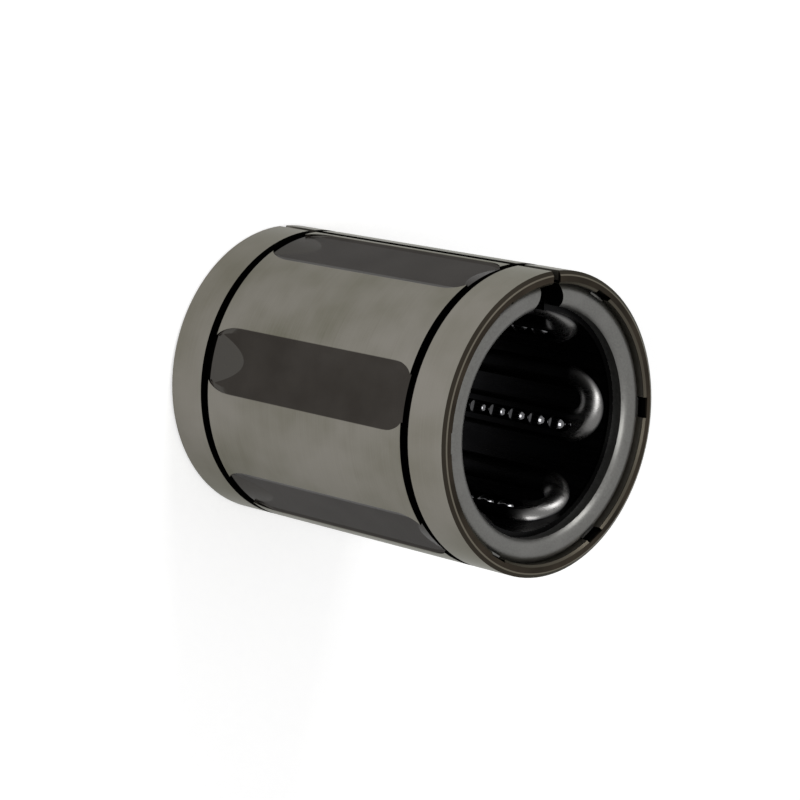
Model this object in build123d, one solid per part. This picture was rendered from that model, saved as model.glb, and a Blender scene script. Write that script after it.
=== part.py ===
from build123d import *

import os
from math import acos, cos, degrees, radians, sin, sqrt, tan

# Adjustable linear ball bushing for a 40 mm shaft and a 62 mm housing.
#
# A hardened sleeve with a slit along one side holds a pressed steel ball cage between two
# end rings. Six closed ball circuits run round the cage. In each one a loaded row rolls
# between the shaft and a raised race in the sleeve, two turns lift the balls off the shaft,
# and a return row leads them back. The outside has two grooves for retaining rings and a
# shallow flat over each race.
#
# Frame: the bushing's axis is Z, with the front end up, and the origin is the centre of the
# bore at mid-length. The slit is on the +Y side. Sizes are millimetres and degrees.

# Shaft, balls and circuits
shaft_radius = 20.0
ball_radius = 2.778
circuits = 6
slit_angle = 90.0
shaft_clearance = 0.04
race_clearance = 0.04
ball_gap = 0.064
channel_clearance = 0.12
return_clearance = 0.15

# Ball path: how far the return row lies outside the loaded row, and the turns' outward tilt
return_lift = 1.6
turn_tilt = 14.0
turn_balls = 3

# Sleeve
sleeve_length = 80.0
race_wall = 5.364
groove_inset = 9.7
groove_width = 2.15
groove_depth = 1.5
end_bevel_radial = 0.95
end_bevel_axial = 0.6
slit_width = 2.0
counterbore_step = 0.6
counterbore_depth = 5.4
counterbore_chamfer = 0.45
notch_width = 4.3
notch_height = 0.6
notch_depth = 4.4
race_half_width = 3.0
race_side_slope = 40.0
race_ramp_slope = 24.0
race_root = 0.5

# Flats on the outside of the sleeve
flat_depth = 1.0
flat_half_width = 5.75
flat_lip_width = 1.35
flat_corner_width = 2.0
front_corner_length = 5.0
rear_corner_length = 6.5
flat_overrun = 0.3
long_ramp_length = 8.85
long_ramp_rise = 0.5
short_ramp_length = 3.2
short_ramp_rise = 0.5

# Ball cage
cage_shaft_clearance = 0.35
trough_sheet = 0.75
web_sheet = 0.9
web_drop = 0.4
trough_rise = 0.9
flange_sheet = 0.8
flange_fit = 0.06
turn_end_clearance = 0.1
cage_slit_step = 0.5

# End rings
ring_fit = 0.05
ring_edge_depth = 1.85
ring_lip_depth = 2.4
ring_crest_depth = 0.95
ring_rim_bevel = 0.42
ring_inner_step = 0.23
lobe_top_width = 3.0
lobe_root_width = 4.1
lobe_height = 0.4

# Sides of the end rings' gap: degrees from the slit, inside the ring and outside it
gap_start_inside = -8.4
gap_start_outside = -4.2
gap_end_inside = 12.3
gap_end_outside = 3.0

# Ball path that follows from these sizes
half_length = sleeve_length / 2
load_radius = shaft_radius + shaft_clearance + ball_radius
return_radius = load_radius + return_lift
raceway_radius = load_radius + ball_radius + race_clearance
outer_radius = raceway_radius + race_wall
ball_pitch = 2 * ball_radius + ball_gap
turn_step = 180 / turn_balls
turn_radius = ball_pitch / (2 * sin(radians(turn_step / 2)))
row_spread = degrees(
    acos((load_radius**2 + return_radius**2 - 4 * turn_radius**2) / (2 * load_radius * return_radius))
)
circuit_angles = [slit_angle + 360 / circuits * (k + 0.5) for k in range(circuits)]

# Each row has as many balls as fit between the end turns
channel_radius = ball_radius + channel_clearance
trough_radius = channel_radius + trough_sheet
turn_reach = turn_radius * cos(radians(turn_tilt)) + trough_radius
row_room = half_length - counterbore_depth - turn_end_clearance - turn_reach
row_balls = int(2 * row_room / ball_pitch)
turn_start = row_balls * ball_pitch / 2


def at_angle(radius, angle):
    """A point in the mid-length plane, at a radius and an angle round the axis."""
    return Vector(radius * cos(radians(angle)), radius * sin(radians(angle)), 0)


# One circuit lies astride the +X side, with its loaded row and its return row along Z
load_point = at_angle(load_radius, -row_spread / 2)
return_point = at_angle(return_radius, row_spread / 2)
across = (return_point - load_point).normalized()
outward = across.cross(Vector(0, 0, 1))
turn_rise = Vector(0, 0, cos(radians(turn_tilt))) + outward * sin(radians(turn_tilt))
turn_normal = across.cross(turn_rise)
turn_centre = (load_point + return_point) * 0.5 + Vector(0, 0, turn_start)


def turn_point(angle):
    """Centre of a ball on the front turn, at an angle from the loaded row."""
    swing = turn_rise * sin(radians(angle)) - across * cos(radians(angle))
    return turn_centre + swing * turn_radius


path_radius = max(sqrt(turn_point(a).X ** 2 + turn_point(a).Y ** 2) for a in range(0, 181, 5))
bore_radius = path_radius + ball_radius + return_clearance
counterbore_radius = bore_radius + counterbore_step
web_inner_radius = load_radius - web_drop
web_outer_radius = web_inner_radius + web_sheet
cage_slit_width = slit_width + 2 * cage_slit_step
cage_inner_radius = shaft_radius + cage_shaft_clearance
trough_outer_radius = web_outer_radius + trough_rise
ring_outer_radius = counterbore_radius - ring_fit
ring_inner_radius = web_outer_radius + ring_inner_step
shoulder_height = half_length - counterbore_depth
flange_top = shoulder_height + flange_sheet
land_base_radius = bore_radius + race_root


def turned(outline):
    """A solid of revolution about the axis, from an outline drawn in the XZ plane."""
    return revolve(make_face(outline), Axis.Z)


def profile(*points):
    """A closed outline in the XZ plane through (radius, height) points."""
    return Polyline(*[(radius, 0, height) for radius, height in points], close=True)


def round_all(shape, angles):
    """Copies of a shape turned round the axis, one for each angle."""
    return [Rot(0, 0, angle) * shape for angle in angles]


def at_both_ends(shape):
    """A shape of the front end, with its mirror image at the rear end."""
    return [shape, mirror(shape, about=Plane.XY)]


def race_angles():
    """Angles of the loaded rows, where the races and the outside flats are."""
    return [angle - row_spread / 2 for angle in circuit_angles]


def sleeve_blank():
    """The turned sleeve, with grooves, counterbores and bevelled ends."""
    groove_outer = half_length - groove_inset
    groove_inner = groove_outer - groove_width
    groove_floor = outer_radius - groove_depth
    front = [
        (outer_radius, groove_inner),
        (groove_floor, groove_inner),
        (groove_floor, groove_outer),
        (outer_radius, groove_outer),
        (outer_radius, half_length - end_bevel_axial),
        (outer_radius - end_bevel_radial, half_length),
        (counterbore_radius + counterbore_chamfer, half_length),
        (counterbore_radius, half_length - counterbore_chamfer),
        (counterbore_radius, shoulder_height),
        (bore_radius, shoulder_height),
    ]
    rear = [(radius, -height) for radius, height in reversed(front)]
    return turned(profile(*front, *rear))


def race_land():
    """One raised race on the +X side, with side slopes and a run-out ramp at each end."""
    land_height = land_base_radius - raceway_radius
    base_half_width = race_half_width + land_height / tan(radians(race_side_slope))
    ramp_length = land_height / tan(radians(race_ramp_slope))
    flank = [(0, race_half_width), (raceway_radius, race_half_width), (land_base_radius, base_half_width)]
    outline = Polyline(*flank, *[(x, -y) for x, y in reversed(flank)], close=True)
    land_end = turn_start + ramp_length
    land = extrude(make_face(outline), land_end, both=True) & Cylinder(land_base_radius, 2 * land_end)
    inside = profile(
        (0, -land_end),
        (land_base_radius, -land_end),
        (raceway_radius, -turn_start),
        (raceway_radius, turn_start),
        (land_base_radius, land_end),
        (0, land_end),
    )
    return land - turned(inside)


def flat_level(height, spread):
    """The flat's outline at one level, with oval corners that are longer than they are wide."""
    half_width = flat_half_width + spread
    reach = half_length - groove_inset - groove_width + flat_overrun
    corner_width = flat_corner_width + spread
    front_corner = front_corner_length + spread
    rear_corner = rear_corner_length + spread
    corner_x = half_width - corner_width
    front_y = reach - front_corner
    rear_y = rear_corner - reach
    outline = Line((-corner_x, -reach), (corner_x, -reach))
    outline += EllipticalCenterArc((corner_x, rear_y), corner_width, rear_corner, -90, arc_size=90)
    outline += Line((half_width, rear_y), (half_width, front_y))
    outline += EllipticalCenterArc((corner_x, front_y), corner_width, front_corner, 0, arc_size=90)
    outline += Line((corner_x, reach), (-corner_x, reach))
    outline += EllipticalCenterArc((-corner_x, front_y), corner_width, front_corner, 90, arc_size=90)
    outline += Line((-half_width, front_y), (-half_width, rear_y))
    outline += EllipticalCenterArc((-corner_x, rear_y), corner_width, rear_corner, 180, arc_size=90)
    return Plane.YZ.offset(height) * make_face(outline)


def flat_cutter():
    """Cutter for the flat on the +X side: flat floor, sloped lip, a ramp up at each end."""
    floor = outer_radius - flat_depth
    rim_half_width = flat_half_width + flat_lip_width
    lip_height = sqrt(outer_radius**2 - rim_half_width**2) - floor
    rim = floor + lip_height
    pocket = loft([flat_level(floor, 0), flat_level(rim, flat_lip_width)], ruled=True)
    pocket += extrude(flat_level(rim, flat_lip_width), 2 * flat_depth)
    groove_edge = half_length - groove_inset - groove_width
    short_ramp = profile(
        (0, groove_edge - short_ramp_length),
        (floor, groove_edge - short_ramp_length),
        (floor + short_ramp_rise, groove_edge),
        (floor + short_ramp_rise, half_length),
        (0, half_length),
    )
    long_ramp = profile(
        (0, -groove_edge + long_ramp_length),
        (floor, -groove_edge + long_ramp_length),
        (floor + long_ramp_rise, -groove_edge),
        (floor + long_ramp_rise, -half_length),
        (0, -half_length),
    )
    return pocket - turned(short_ramp) - turned(long_ramp)


def notch_cutter():
    """Cutter for the notch in the front counterbore on the +X side, for a lobe of the ring."""
    depth = counterbore_radius + notch_height - bore_radius
    centre = Pos((bore_radius + depth / 2), 0, half_length - notch_depth / 2)
    return centre * Box(depth, notch_width, notch_depth)


def slit_cutter(width):
    """Cutter for a slit of a width, along the whole length on the slit side."""
    return Rot(0, 0, slit_angle) * Pos(outer_radius, 0, 0) * Box(outer_radius, width, sleeve_length)


def outer_sleeve():
    """The hardened sleeve: blank, races, flats, ring notches and the slit."""
    sleeve = sleeve_blank() + round_all(race_land(), race_angles())
    sleeve -= round_all(flat_cutter(), race_angles())
    for notch in at_both_ends(notch_cutter()):
        sleeve -= round_all(notch, circuit_angles)
    return sleeve - slit_cutter(slit_width)


def path_tube(radius):
    """A tube of a radius round the closed path of the circuit on the +X side."""
    section_plane = Plane(origin=turn_centre - across * turn_radius, x_dir=across, z_dir=turn_rise)
    turn = revolve(section_plane * Circle(radius), Axis(turn_centre, -turn_normal), 180)
    tube = Pos(load_point) * Cylinder(radius, 2 * turn_start)
    tube += Pos(return_point) * Cylinder(radius, 2 * turn_start)
    for end in (0, 180):
        turn += Pos(turn_point(end)) * Sphere(radius)
    return tube + at_both_ends(turn)


def end_flange():
    """The cage's flange, which the end ring holds down on the sleeve's front shoulder."""
    return Pos(0, 0, shoulder_height) * extrude(
        Circle(counterbore_radius - flange_fit) - Circle(web_inner_radius), flange_sheet
    )


def ball_cage():
    """The pressed cage: a thin web with a trough round each circuit, open to the shaft."""
    web = extrude(Circle(web_outer_radius) - Circle(web_inner_radius), shoulder_height, both=True)
    skin = extrude(Circle(trough_outer_radius) - Circle(cage_inner_radius), shoulder_height, both=True)
    skin -= slit_cutter(cage_slit_width)
    cage = web + at_both_ends(end_flange()) - slit_cutter(cage_slit_width)
    cage += [skin & tube for tube in round_all(path_tube(trough_radius), circuit_angles)]
    return cage - round_all(path_tube(channel_radius), circuit_angles)


def ring_lobe():
    """One lobe of the front ring, on the +X side, that sits in a notch of the sleeve."""
    root = ring_outer_radius - lobe_height
    tip = ring_outer_radius + lobe_height
    outline = Polyline(
        (root, -lobe_root_width / 2),
        (ring_outer_radius, -lobe_root_width / 2),
        (tip, -lobe_top_width / 2),
        (tip, lobe_top_width / 2),
        (ring_outer_radius, lobe_root_width / 2),
        (root, lobe_root_width / 2),
        close=True,
    )
    base = half_length - notch_depth
    return Pos(0, 0, base) * extrude(make_face(outline), notch_depth - ring_edge_depth)


def front_end_ring():
    """The domed front ring, open at the slit, with a lobe for each notch."""
    shoulder = half_length - ring_edge_depth
    lip = (ring_inner_radius, 0, half_length - ring_lip_depth)
    crest = ((ring_inner_radius + ring_outer_radius) / 2, 0, half_length - ring_crest_depth)
    rim = (ring_outer_radius - ring_rim_bevel, 0, shoulder)
    outline = ThreePointArc(lip, crest, rim) + Polyline(
        rim,
        (ring_outer_radius, 0, shoulder - ring_rim_bevel),
        (ring_outer_radius, 0, flange_top),
        (ring_inner_radius, 0, flange_top),
        lip,
    )
    ring = turned(outline) + round_all(ring_lobe(), circuit_angles)
    gap = Polyline(
        at_angle(web_outer_radius, gap_start_inside),
        at_angle(outer_radius, gap_start_outside),
        at_angle(outer_radius, gap_end_outside),
        at_angle(web_outer_radius, gap_end_inside),
        close=True,
    )
    wedge = extrude(make_face(gap), sleeve_length, both=True)
    return ring - Rot(0, 0, slit_angle) * wedge


def balls_at(points):
    """A group of separate balls."""
    return [Pos(point) * Sphere(ball_radius) for point in points]


def straight_row(foot):
    """The balls of one straight row, evenly spaced along Z."""
    heights = [(k - (row_balls - 1) / 2) * ball_pitch for k in range(row_balls)]
    return balls_at([foot + Vector(0, 0, height) for height in heights])


def turn_row():
    """The balls of one front turn."""
    return balls_at([turn_point((k + 0.5) * turn_step) for k in range(turn_balls)])


def mirrored(balls):
    """The same balls at the rear end."""
    return [mirror(ball, about=Plane.XY) for ball in balls]


def ball_groups():
    """Every ball, in four groups for each circuit, by node name."""
    groups = {}
    for number, angle in enumerate(circuit_angles, start=1):
        rows = {
            "loaded_row": straight_row(load_point),
            "return_row": straight_row(return_point),
            "front_turn": turn_row(),
            "rear_turn": mirrored(turn_row()),
        }
        for name, balls in rows.items():
            groups[f"{name}_{number}"] = [Rot(0, 0, angle) * ball for ball in balls]
    return groups


def bushing():
    """Every node of the bushing by name."""
    ring = front_end_ring()
    nodes = {
        "outer_sleeve": outer_sleeve(),
        "ball_cage": ball_cage(),
        "front_end_ring": ring,
        "rear_end_ring": mirror(ring, about=Plane.XY),
    }
    for name, balls in ball_groups().items():
        nodes[name] = Compound(children=balls)
    return nodes


os.makedirs("parts", exist_ok=True)
for name, shape in bushing().items():
    export_step(shape, f"parts/{name}.step")

print("outside diameter", 2 * outer_radius, "length", sleeve_length, "balls", circuits * 2 * (row_balls + turn_balls))
print("turn centre", turn_centre, "normal", turn_normal)
print("pitch", ball_pitch, "degrees of turn for one pitch", turn_step)
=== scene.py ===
from math import cos, pi, radians, sin

import bpy
from mathutils import Matrix, Vector


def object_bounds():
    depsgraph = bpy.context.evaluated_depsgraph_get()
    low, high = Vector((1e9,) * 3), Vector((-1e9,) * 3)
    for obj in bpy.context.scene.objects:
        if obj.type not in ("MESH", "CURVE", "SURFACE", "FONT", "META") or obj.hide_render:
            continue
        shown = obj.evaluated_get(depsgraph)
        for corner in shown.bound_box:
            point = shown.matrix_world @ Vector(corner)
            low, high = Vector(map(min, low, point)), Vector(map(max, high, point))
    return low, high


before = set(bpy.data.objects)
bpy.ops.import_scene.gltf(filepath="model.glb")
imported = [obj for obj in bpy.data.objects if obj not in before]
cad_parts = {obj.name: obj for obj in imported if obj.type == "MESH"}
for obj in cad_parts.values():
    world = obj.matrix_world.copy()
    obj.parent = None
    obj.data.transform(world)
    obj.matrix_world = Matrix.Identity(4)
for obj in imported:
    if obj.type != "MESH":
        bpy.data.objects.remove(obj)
cad_low, cad_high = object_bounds()

MM = 0.001
HALF_LENGTH = cad_high.z

# The camera, in degrees: round the axis from +X, up from the plane of the end faces, and
# its own roll. The offset is in pixels, because the photograph is a crop.
PHOTO_PIXELS = 800
CAMERA_AZIMUTH = 164.77
CAMERA_ELEVATION = 43.54
CAMERA_ROLL = 102.05
CAMERA_DISTANCE = 627.0 * MM
CAMERA_LENS = 135.75
CAMERA_SENSOR = 36.0
CROP_OFFSET_X = 9.6
CROP_OFFSET_Y = 5.15

# The lamps: degrees round the axis and up, width, and brightness as a mirror shows it
LAMP_DISTANCE = 900 * MM
FRONT_LAMP = (172, 36, 340 * MM, 9.0)
TOP_LAMP = (84, 24, 340 * MM, 9.0)

# The surroundings' light on the object. The lens and mirrors see them as white, which is 1,
# and the lift takes the lit paper to white there.
AMBIENT = 0.5
PAPER_LIFT = 0.374
FLOOR_WIDTH = 8.0

# Where one finish or painted shade ends and the next begins. The flats' painted dark reflection
# and the notches' painted shade start a little inside the edges of the solids, so that no edge
# shows both finishes.
FLAT_REFLECTION_RADIUS = 30.96 * MM
GROOVE_FROM = 28.15 * MM
GROOVE_TO = 30.3 * MM
GROOVE_MARGIN = 0.06 * MM
REAR_RAMP_FROM = 19.3 * MM
REAR_RAMP_LEAN = 0.5 / 8.85
BEVEL_FROM = HALF_LENGTH - 0.6 * MM
BEVEL_TO = HALF_LENGTH - 0.1 * MM
FACE_FROM = HALF_LENGTH - 0.14 * MM
CORNER_RADIUS = 29.93 * MM
CHAMFER_FROM = HALF_LENGTH - 0.45 * MM
CHAMFER_RADIUS = 28.78 * MM
NOTCH_FROM_RADIUS = 28.43 * MM
NOTCH_TO_RADIUS = 29.03 * MM
BORE_RADIUS = 28.13 * MM
LOBE_RADIUS = 28.25 * MM
WEB_RADIUS = 22.42 * MM
WEB_FADE = 0.5 * MM
TURN_FROM = 25.29 * MM
TURN_FADE = 4 * MM
FLANGE_FROM = 34.7 * MM

# Width over which one finish turns into another, and a size that is past every edge
EDGE = 0.03 * MM
BEYOND = 1.0

# Sizes of the marks on the steel and of the paper's fibres. Real grinding lines are about
# 0.05 mm apart and real rolled grain is as fine: both are too fine to show in the render, so
# they are drawn as coarse as they need to be to show.
STAIN_WIDTH = 24 * MM
CLOUD_WIDTH = 9 * MM
GRINDING_PITCH = 0.19 * MM
GRINDING_LENGTH = 25 * MM
GRAIN_WIDTH = 0.42 * MM
GRAIN_DEPTH = 0.02 * MM
SCUFF_WIDTH = 6 * MM
DRAW_MARK_WIDTH = 1.1 * MM
DRAW_MARK_LENGTH = 17 * MM
SHADE_WIDTH = 4.5 * MM
HAZE_WIDTH = 1.4 * MM
FIBRE_WIDTH = 1.1 * MM

# Colours of the finishes, of painted shade and of painted highlights as sRGB hex values, in
# pairs where a pattern goes from one to the other. An edge colour is what a metal shows at a
# grazing angle.
GROUND_AND_STAINED = ("74716A", "5D5B4F")
CLOUDED = "7B7872"
GRINDING_GLINT = "898680"
BAND = "7E7A73"
# Painted dark reflection on the flats, and a painted highlight on their rear ramps
FLAT_DARK_REFLECTION = ("302D2A", "373431")
REAR_RAMP_HIGHLIGHT = "44423F"
# Painted shade in the grooves
GROOVE_SHADE = "161513"
# Painted shade on the turned end faces, a painted dark reflection on the bevels, a glint
# painted on the outer corners and a painted highlight on the inner chamfer
END_FACE_SHADE = ("352F28", "25211C")
BEVEL_DARK_REFLECTION = "302C26"
CORNER_GLINT = "625D53"
CHAMFER_HIGHLIGHT = "47433B"
# Painted shade in the notches and the bore
NOTCH_SHADE = "100F0E"
BORE_SHADE = "1C1B1A"
GROUND_AND_SKIN_EDGE = ("D2D3CF", "C6C6C6")
ROLLED_STRIP = ("646361", "6E6E6B")
SCUFFED_STRIP = "7B7A78"
# Painted shade on the rings' lobes in the notches and on their ends beside the slit
STRIP_SHADE = "0E0E0D"
# The cage's black is painted shade of the bore, in random tones
CAGE_BLACK_SHADE = ("19191B", "202022")
# Painted highlight on the cage's raised turns
TURN_HIGHLIGHT = "6A6968"
UNLIT_FLANGE = "0A0A0B"
# Ball steel painted darker than it is, as shade inside the bore
LAPPED_BALL = ("5E5E60", "6A6A6C")
PAPER = ("F2F2F2", "F5F5F5")
WHITE = "FFFFFF"

# A colour mix has its factor at input 0, its colours at inputs 6 and 7, and this output
MIX = {"data_type": "RGBA"}
MIXED = 2

TIMES = {"operation": "MULTIPLY"}
LESS = {"operation": "SUBTRACT"}
GREATER_OF = {"operation": "MAXIMUM"}
SIZE_OF = {"operation": "ABSOLUTE"}
LENGTH = {"operation": "LENGTH"}
DOT = {"operation": "DOT_PRODUCT"}
CROSS = {"operation": "CROSS_PRODUCT"}
UNIT = {"operation": "NORMALIZE"}
AXIS = (0, 0, 1)


def direction(azimuth, elevation):
    """A unit vector from degrees round the axis and degrees above the end faces' plane."""
    a, e = radians(azimuth), radians(elevation)
    return Vector((cos(a) * cos(e), sin(a) * cos(e), sin(e)))


def look_at_centre(place, roll=0.0):
    """The matrix of something at a place that looks at the bushing's centre."""
    backward = place.normalized()
    right = Vector(AXIS).cross(backward).normalized()
    upward = backward.cross(right)
    turn = Matrix((right, upward, backward)).transposed().to_4x4()
    return Matrix.Translation(place) @ turn @ Matrix.Rotation(radians(roll), 4, "Z")


def make_camera():
    """The photograph's camera."""
    camera = bpy.data.objects.new("camera", bpy.data.cameras.new("camera"))
    camera.data.lens = CAMERA_LENS
    camera.data.sensor_width = CAMERA_SENSOR
    camera.data.shift_x = -CROP_OFFSET_X / PHOTO_PIXELS
    camera.data.shift_y = -CROP_OFFSET_Y / PHOTO_PIXELS
    place = direction(CAMERA_AZIMUTH, CAMERA_ELEVATION) * CAMERA_DISTANCE
    camera.matrix_world = look_at_centre(place, CAMERA_ROLL)
    bpy.context.scene.collection.objects.link(camera)
    bpy.context.scene.camera = camera


def linear(code):
    """Linear colour from an sRGB hex value such as 8A8780."""
    values = [int(code[k:k + 2], 16) / 255 for k in (0, 2, 4)]
    bent = [v / 12.92 if v <= 0.04045 else ((v + 0.055) / 1.055) ** 2.4 for v in values]
    return (*bent, 1.0)


def join(tree, node, **inputs):
    """Links or sets inputs by name or, as in i0, by number; a hex value is a colour."""
    for key, value in inputs.items():
        numbered = key[0] == "i" and key[1:].isdigit()
        socket = node.inputs[int(key[1:])] if numbered else node.inputs[key.replace("_", " ")]
        if isinstance(value, bpy.types.NodeSocket):
            tree.links.new(value, socket)
        else:
            socket.default_value = linear(value) if isinstance(value, str) else value


def add(tree, kind, settings=None, output=0, **inputs):
    """Adds a node with its settings and links, and gives one of its outputs."""
    node = tree.nodes.new(kind)
    for key, value in (settings or {}).items():
        setattr(node, key, value)
    join(tree, node, **inputs)
    return node.outputs[output]


def zone(tree, *limits):
    """One where each value is between its low and high limit, fading over its edge to zero."""
    inside = 1.0
    for value, low, high, edge in limits:
        above = add(tree, "ShaderNodeMapRange", Value=value, i1=low, i2=low + edge)
        below = add(tree, "ShaderNodeMapRange", Value=value, i1=high, i2=high - edge)
        inside = add(tree, "ShaderNodeMath", TIMES, i0=inside, i1=above)
        inside = add(tree, "ShaderNodeMath", TIMES, i0=inside, i1=below)
    return inside


def mottle(tree, place, widths, detail, thin, thick):
    """A cloudy pattern from 0 to 1, with marks of such widths along X, Y and Z."""
    scale = [1 / width for width in widths]
    stretched = add(tree, "ShaderNodeMapping", Vector=place, Scale=scale)
    cloud = add(tree, "ShaderNodeTexNoise", Vector=stretched, Scale=1.0, Detail=detail)
    return add(tree, "ShaderNodeMapRange", Value=cloud, i1=thin, i2=thick)


def overlay(tree, colour, *layers):
    """Lays shades over a colour, each with its share where its mask is one."""
    for mask, share, shade in layers:
        weight = add(tree, "ShaderNodeMath", TIMES, i0=mask, i1=share)
        colour = add(tree, "ShaderNodeMix", MIX, MIXED, i0=weight, i6=colour, i7=shade)
    return colour


def start_material(name):
    """A new material, its node tree and shader, and each point's place on the bushing."""
    material = bpy.data.materials.new(name)
    material.use_nodes = True
    tree = material.node_tree
    place = add(tree, "ShaderNodeTexCoord", output="Object")
    return material, tree, tree.nodes["Principled BSDF"], place


def round_axis(tree, place):
    """Distance from the axis, level along it, and distance from the mid-length plane."""
    across = add(tree, "ShaderNodeVectorMath", TIMES, i0=place, i1=(1, 1, 0))
    radius = add(tree, "ShaderNodeVectorMath", LENGTH, "Value", i0=across)
    level = add(tree, "ShaderNodeVectorMath", DOT, "Value", i0=place, i1=AXIS)
    return radius, level, add(tree, "ShaderNodeMath", SIZE_OF, i0=level)


def facing_along(tree, way):
    """How much the surface faces along a way, forward or back, from 0 to 1."""
    facing = add(tree, "ShaderNodeNewGeometry", output="True Normal")
    along = add(tree, "ShaderNodeVectorMath", DOT, "Value", i0=facing, i1=way)
    return add(tree, "ShaderNodeMath", SIZE_OF, i0=along)


def ground_bearing_steel():
    """Bearing steel, ground round the axis: a warm satin grey with cloudy oil stains.

    The flats are painted dark as a dark reflection, paler on their rear ramps as a painted
    highlight; the grooves, notches and bore are painted shade; the turned ends are browner and
    painted dark as shade, with a painted dark reflection on the bevels and painted highlights
    on the outer corners and inner chamfer.
    """
    material, tree, shader, place = start_material("ground_bearing_steel")
    radius, level, height = round_axis(tree, place)
    stains = mottle(tree, place, [STAIN_WIDTH] * 3, 3.0, 0.38, 0.62)
    clouds = mottle(tree, place, [CLOUD_WIDTH] * 3, 4.0, 0.35, 0.7)
    line_sizes = (GRINDING_LENGTH, GRINDING_LENGTH, GRINDING_PITCH)
    lines = mottle(tree, place, line_sizes, 2.0, 0.3, 0.7)

    # The ground surface, with paler clouds, glinting lines and the bands at both ends
    clean, stained = GROUND_AND_STAINED
    ground = overlay(
        tree,
        clean,
        (stains, 1.0, stained),
        (clouds, 0.4, CLOUDED),
        (lines, 0.18, GRINDING_GLINT),
        (zone(tree, (height, GROOVE_TO, BEVEL_FROM, EDGE)), 0.25, BAND),
    )

    # The flats, painted dark as a dark reflection, and paler on the long ramp at the rear of
    # each as a painted highlight
    lean = facing_along(tree, AXIS)
    lean_edge = 0.2 * REAR_RAMP_LEAN
    ramps = zone(
        tree,
        (lean, lean_edge, 2.4 * REAR_RAMP_LEAN, lean_edge),
        (level, -BEYOND, -REAR_RAMP_FROM, EDGE),
    )
    dark, less_dark = FLAT_DARK_REFLECTION
    flat_reflection = overlay(tree, dark, (clouds, 1.0, less_dark), (ramps, 1.0, REAR_RAMP_HIGHLIGHT))
    flats = zone(
        tree,
        (radius, 0.0, FLAT_REFLECTION_RADIUS, 2 * EDGE),
        (height, -BEYOND, GROOVE_FROM, EDGE),
    )
    grooves = zone(tree, (height, GROOVE_FROM - GROOVE_MARGIN, GROOVE_TO + GROOVE_MARGIN, EDGE))

    # The turned ends painted dark as shade, a painted dark reflection on their bevels, painted
    # highlights on their outer corners and inner chamfer, and painted shade in the grooves, the
    # notches for the rings' lobes and the bore
    brown, dark_brown = END_FACE_SHADE
    turned = overlay(tree, brown, (clouds, 1.0, dark_brown))
    corners = zone(
        tree,
        (height, FACE_FROM, BEYOND, EDGE),
        (radius, CORNER_RADIUS, BEYOND, EDGE),
    )
    chamfers = zone(
        tree,
        (radius, 0.0, CHAMFER_RADIUS, EDGE),
        (height, CHAMFER_FROM, BEYOND, EDGE),
    )
    notches = zone(
        tree,
        (radius, NOTCH_FROM_RADIUS, NOTCH_TO_RADIUS, EDGE),
        (height, -BEYOND, CHAMFER_FROM, EDGE),
    )
    colour = overlay(
        tree,
        ground,
        (flats, 1.0, flat_reflection),
        (grooves, 1.0, GROOVE_SHADE),
        (zone(tree, (height, BEVEL_FROM, BEYOND, EDGE)), 1.0, turned),
        (zone(tree, (height, BEVEL_FROM, BEVEL_TO, EDGE)), 1.0, BEVEL_DARK_REFLECTION),
        (corners, 1.0, CORNER_GLINT),
        (chamfers, 1.0, CHAMFER_HIGHLIGHT),
        (notches, 1.0, NOTCH_SHADE),
        (zone(tree, (radius, 0.0, BORE_RADIUS, EDGE)), 1.0, BORE_SHADE),
    )

    satin = add(tree, "ShaderNodeMapRange", Value=lines, i3=0.31, i4=0.36)
    smoother = add(tree, "ShaderNodeMath", TIMES, i0=flats, i1=0.1)
    roughness = add(tree, "ShaderNodeMath", LESS, i0=satin, i1=smoother)
    unground = add(tree, "ShaderNodeMath", GREATER_OF, i0=flats, i1=grooves)
    ground_edge, skin_edge = GROUND_AND_SKIN_EDGE
    tint = overlay(tree, ground_edge, (unground, 1.0, skin_edge))
    join(
        tree,
        shader,
        Base_Color=colour,
        Metallic=1.0,
        Roughness=roughness,
        Specular_Tint=tint,
    )
    return material


def rolled_strip_steel():
    """Cold-rolled strip: a neutral satin grey with fine grain and a few paler scuffs.

    The lobes in the notches and the sheared ends beside the slit are painted nearly black as
    shade.
    """
    material, tree, shader, place = start_material("rolled_strip_steel")
    radius = round_axis(tree, place)[0]
    grain = mottle(tree, place, [GRAIN_WIDTH] * 3, 3.0, 0.3, 0.7)
    scuffs = mottle(tree, place, [SCUFF_WIDTH] * 3, 4.0, 0.5, 0.75)
    around = add(tree, "ShaderNodeVectorMath", CROSS, i0=place, i1=AXIS)
    around = add(tree, "ShaderNodeVectorMath", UNIT, i0=around)
    sideways = facing_along(tree, around)
    ends = add(tree, "ShaderNodeMapRange", Value=sideways, i1=0.2, i2=0.3)
    plain, grainy = ROLLED_STRIP
    colour = overlay(
        tree,
        plain,
        (grain, 1.0, grainy),
        (scuffs, 0.3, SCUFFED_STRIP),
        # Painted shade on the lobes and on the ends beside the slit
        (zone(tree, (radius, LOBE_RADIUS, BEYOND, EDGE)), 1.0, STRIP_SHADE),
        (ends, 1.0, STRIP_SHADE),
    )
    roughness = add(tree, "ShaderNodeMapRange", Value=grain, i3=0.36, i4=0.44)
    bump = add(tree, "ShaderNodeBump", Height=grain, Strength=0.12, Distance=GRAIN_DEPTH)
    join(tree, shader, Base_Color=colour, Metallic=1.0, Roughness=roughness, Normal=bump)
    return material


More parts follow.
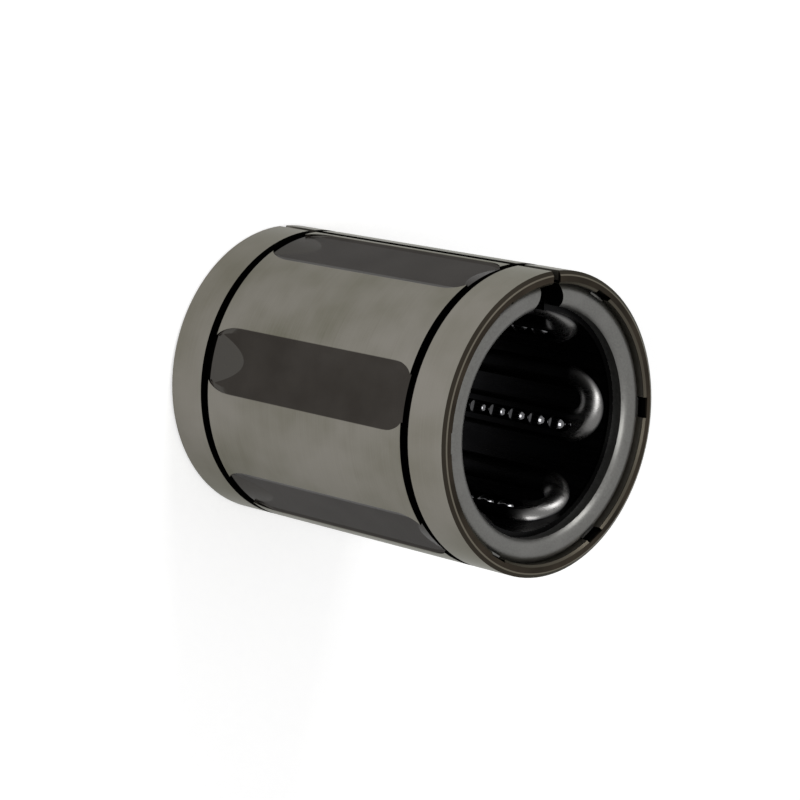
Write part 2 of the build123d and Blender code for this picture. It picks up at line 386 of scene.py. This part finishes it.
def shaded_black_sheet_steel():
    """Pressed sheet with drawing marks, painted black as the bore's shade, with painted
    highlights on the raised turns and painted shade on the flange.
    """
    material, tree, shader, place = start_material("shaded_black_sheet_steel")
    radius, _, height = round_axis(tree, place)
    shades = mottle(tree, place, [SHADE_WIDTH] * 3, 3.0, 0.3, 0.7)
    mark_sizes = (DRAW_MARK_WIDTH, DRAW_MARK_WIDTH, DRAW_MARK_LENGTH)
    marks = mottle(tree, place, mark_sizes, 2.0, 0.3, 0.7)
    # Painted highlights on the raised turns
    turns = zone(
        tree,
        (radius, 0.0, WEB_RADIUS, WEB_FADE),
        (height, TURN_FROM, BEYOND, TURN_FADE),
    )
    # Black as painted shade of the bore, in random tones
    black, worn_black = CAGE_BLACK_SHADE
    colour = overlay(
        tree,
        black,
        (shades, 1.0, worn_black),
        (turns, 1.0, TURN_HIGHLIGHT),
        (zone(tree, (height, FLANGE_FROM, BEYOND, EDGE)), 1.0, UNLIT_FLANGE),
    )
    roughness = add(tree, "ShaderNodeMapRange", Value=marks, i3=0.24, i4=0.32)
    join(tree, shader, Base_Color=colour, Metallic=1.0, Roughness=roughness)
    return material


def polished_ball_steel():
    """Lapped ball steel: a mirror with the faintest haze, painted darker than ball steel as
    shade inside the bore.
    """
    material, tree, shader, place = start_material("polished_ball_steel")
    haze = mottle(tree, place, [HAZE_WIDTH] * 3, 2.0, 0.3, 0.7)
    # Darker than ball steel, as painted shade inside the bore
    clear, hazy = LAPPED_BALL
    colour = overlay(tree, clear, (haze, 1.0, hazy))
    roughness = add(tree, "ShaderNodeMapRange", Value=haze, i3=0.03, i4=0.06)
    join(tree, shader, Base_Color=colour, Metallic=1.0, Roughness=roughness)
    return material


def matt_studio_paper():
    """White paper, which takes a shadow and is pure white to the lens where it has none."""
    material, tree, shader, place = start_material("matt_studio_paper")
    fibres = mottle(tree, place, [FIBRE_WIDTH] * 3, 2.0, 0.3, 0.7)
    greyer, whiter = PAPER
    colour = overlay(tree, greyer, (fibres, 1.0, whiter))
    lift = add(tree, "ShaderNodeMath", TIMES, i0=seen_directly(tree), i1=PAPER_LIFT)
    join(
        tree,
        shader,
        Base_Color=colour,
        Roughness=0.9,
        Specular_IOR_Level=0.0,
        Emission_Color=WHITE,
        Emission_Strength=lift,
    )
    return material


def seen_directly(tree):
    """One for the lens, for mirrors and for what looks through glass, and zero elsewhere."""
    seen = 0.0
    for ray in ("Camera", "Glossy", "Transmission"):
        is_ray = add(tree, "ShaderNodeLightPath", output=f"Is {ray} Ray")
        seen = add(tree, "ShaderNodeMath", GREATER_OF, i0=seen, i1=is_ray)
    return seen


def make_world():
    """A white studio that lights the object less brightly than it looks."""
    world = bpy.data.worlds.new("studio")
    bpy.context.scene.world = world
    world.use_nodes = True
    tree = world.node_tree
    strength = add(tree, "ShaderNodeMapRange", Value=seen_directly(tree), i3=AMBIENT, i4=1.0)
    join(tree, tree.nodes["Background"], Color=WHITE, Strength=strength)


def make_floor():
    """The paper under the bushing, which stands on its rear end."""
    bpy.ops.mesh.primitive_plane_add(size=FLOOR_WIDTH, location=(0, 0, 0))
    floor = bpy.context.object
    floor.name = "floor"
    floor.data.transform(Matrix.Translation((0, 0, -HALF_LENGTH)))
    floor.data.materials.append(matt_studio_paper())


def add_softbox(name, azimuth, elevation, width, brightness):
    """A square lamp that looks at the bushing."""
    data = bpy.data.lights.new(name, "AREA")
    data.shape = "SQUARE"
    data.size = width
    data.energy = brightness * pi * width * width
    lamp = bpy.data.objects.new(name, data)
    lamp.matrix_world = look_at_centre(direction(azimuth, elevation) * LAMP_DISTANCE)
    bpy.context.scene.collection.objects.link(lamp)


def dress(words, material):
    """Gives a material to each node whose name starts with one of these words."""
    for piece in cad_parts.values():
        if piece.name.startswith(words):
            piece.data.materials.clear()
            piece.data.materials.append(material)


bpy.context.scene.view_settings.view_transform = "Standard"
make_camera()
make_world()
make_floor()
add_softbox("front_lamp", *FRONT_LAMP)
add_softbox("top_lamp", *TOP_LAMP)

dress("outer_sleeve", ground_bearing_steel())
dress("ball_cage", shaded_black_sheet_steel())
dress(("front_end_ring", "rear_end_ring"), rolled_strip_steel())
dress(("loaded_row", "return_row", "front_turn", "rear_turn"), polished_ball_steel())
